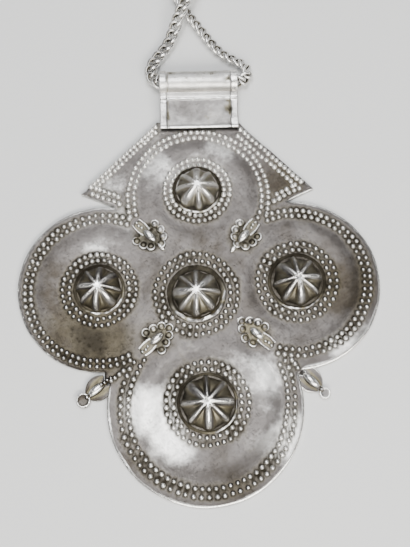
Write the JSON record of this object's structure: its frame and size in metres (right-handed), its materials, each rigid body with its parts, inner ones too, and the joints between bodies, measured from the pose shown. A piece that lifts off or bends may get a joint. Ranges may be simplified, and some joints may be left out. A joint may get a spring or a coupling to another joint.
{
  "type": "hamsa pendant",
  "caption": "Lobed hamsa pendant of tarnished silver with fluted bosses, rows of raised pearls, palmettes, finials and a tube bail on a loop of curb chain",
  "frame": {"origin": "on the back of the plate, under the middle of the centre boss", "axes": "+X to the wearer's left as seen from the front, +Y up to the bail along the pendant, +Z out of the decorated face"},
  "size_m": [0.0943, 0.3367, 0.0066],
  "materials": {
    "plate_silver": "worn hand-beaten silver with brown and violet tarnish in the fields",
    "boss_silver": "polished ridges over dark tarnished valleys",
    "palmette_silver": "bright wire over olive tarnish",
    "finial_silver": "dull silver with brown tarnish and rubbed edges",
    "bail_silver": "rubbed sheet silver with fine scratches and small dents",
    "chain_silver": "rubbed wire, dark between the links"
  },
  "bodies": {
    "root": {"plate": "plate_silver", "boss_centre": "boss_silver", "boss_top": "boss_silver", "boss_left": "boss_silver", "boss_right": "boss_silver", "boss_bottom": "boss_silver", "palmette_top_left": "palmette_silver", "palmette_top_right": "palmette_silver", "palmette_bottom_left": "palmette_silver", "palmette_bottom_right": "palmette_silver", "finial_left": "finial_silver", "finial_right": "finial_silver", "bail": "bail_silver", "chain_right": "chain_silver", "chain_left": "chain_silver"}
  },
  "joints": []
}
